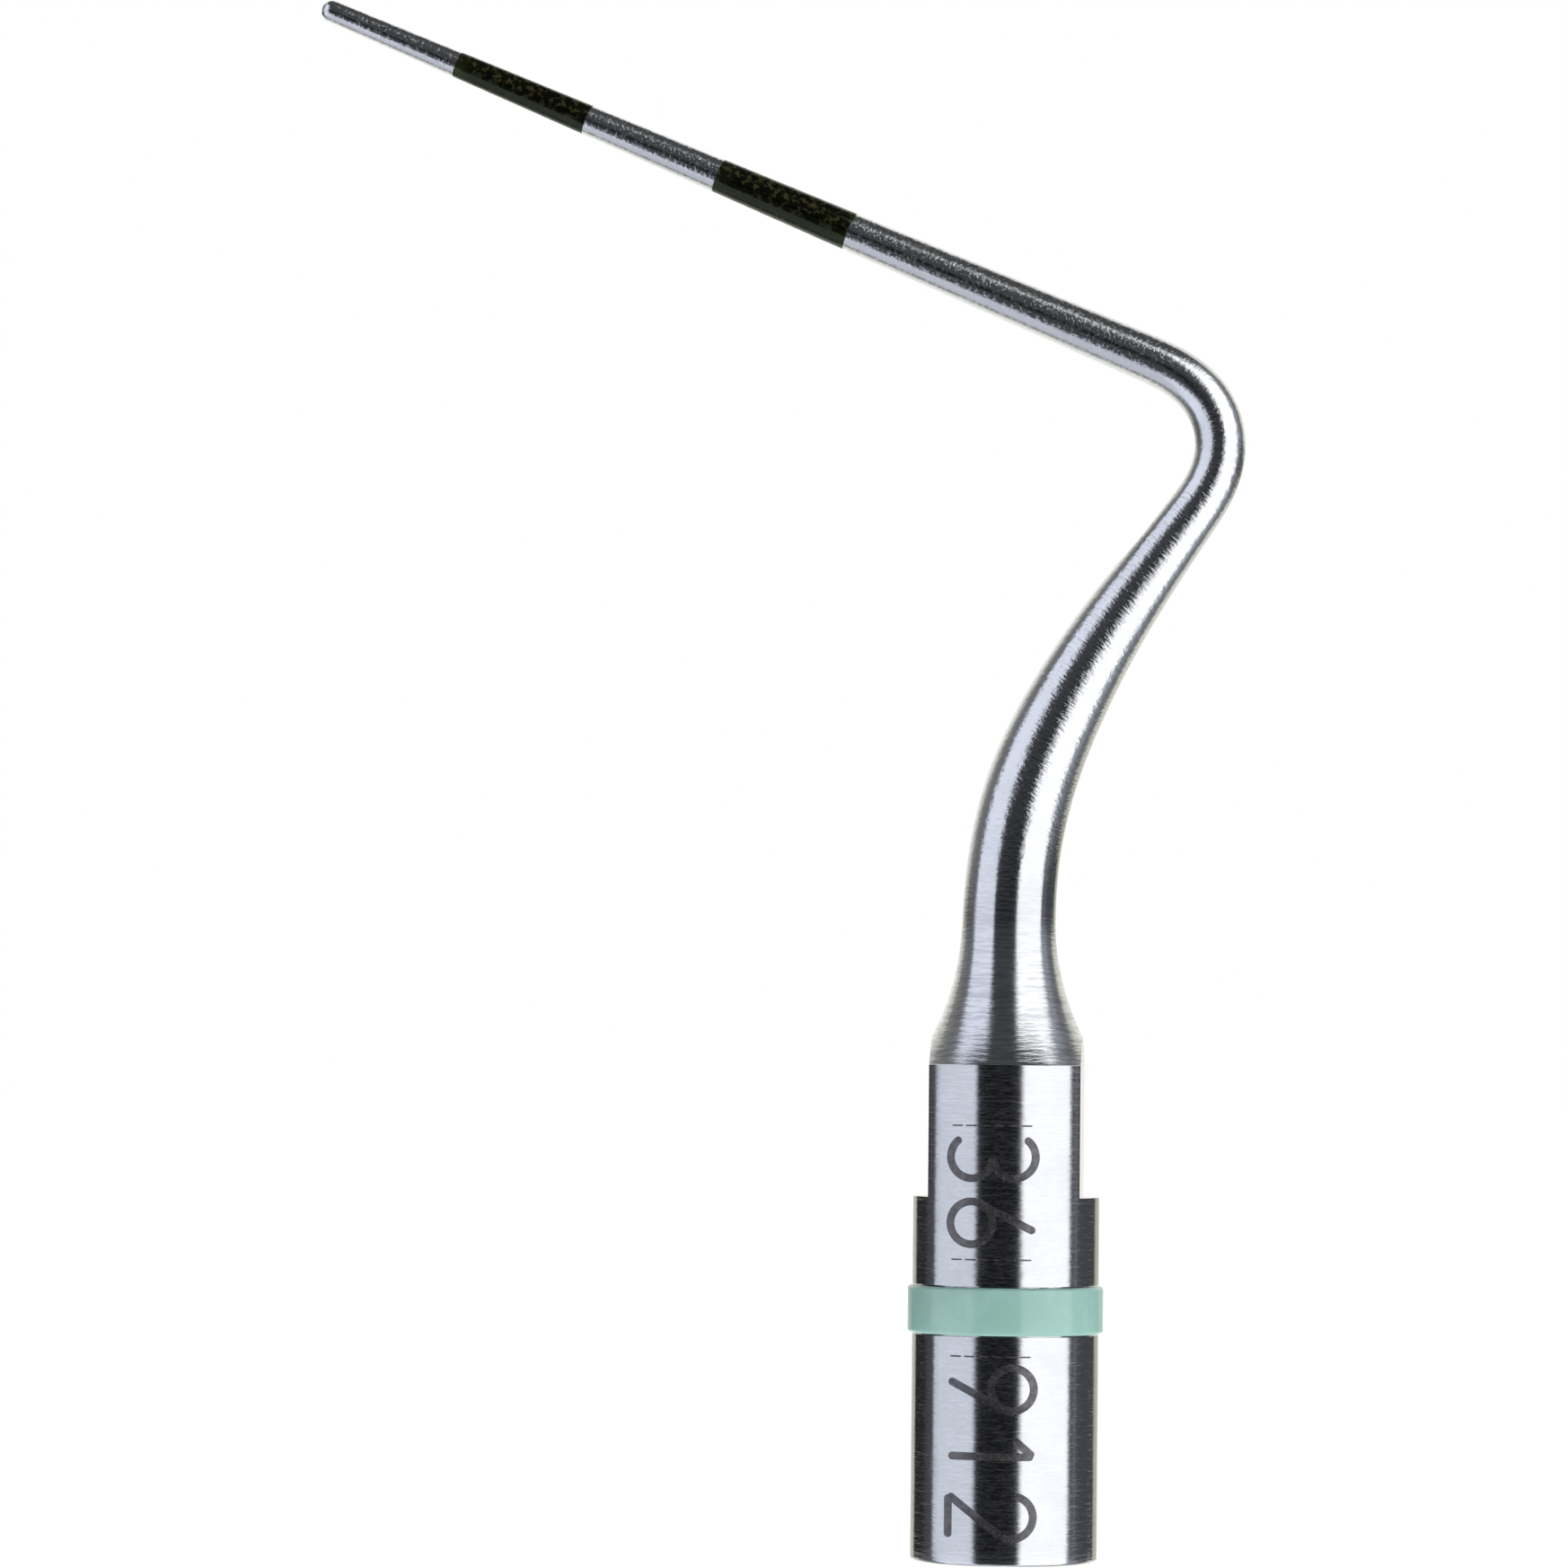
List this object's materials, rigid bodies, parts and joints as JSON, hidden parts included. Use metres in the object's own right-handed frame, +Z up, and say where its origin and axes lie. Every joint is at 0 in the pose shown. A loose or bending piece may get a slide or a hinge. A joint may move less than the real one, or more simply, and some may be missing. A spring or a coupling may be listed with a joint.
{
  "type": "screw-on ultrasonic periodontal probe tip",
  "caption": "Bent steel dental probe tip with a threaded hub, two wrench flats, a green colour ring, dark depth bands every 3 mm and a water outlet.",
  "frame": {"origin": "middle of the hub's bottom face, where the threaded hole opens", "axes": "+Z up the hub's axis from the thread's mouth, the shank bends in the XZ plane and the probe arm points to -X, the wrench flats face -X and +X, the engraved numerals face -Y"},
  "size_m": [0.0194, 0.004, 0.0323],
  "materials": {
    "steel": "turned and polished",
    "ring_polymer": "satin",
    "dark_band": "dark oxide coat",
    "engraving": "engraved, grey oxide"
  },
  "bodies": {
    "insert": {"steel_insert": "steel", "depth_band_3_6_mm": "dark_band", "depth_band_9_12_mm": "dark_band", "scale_numerals": "engraving"},
    "ring": {"colour_ring": "ring_polymer"}
  },
  "joints": [
    {"name": "ring_turn", "type": "hinge", "parent": "insert", "child": "ring", "pos_m": [0, 0, 0.00515], "axis": [0, 0, 1], "continuous": true}
  ]
}
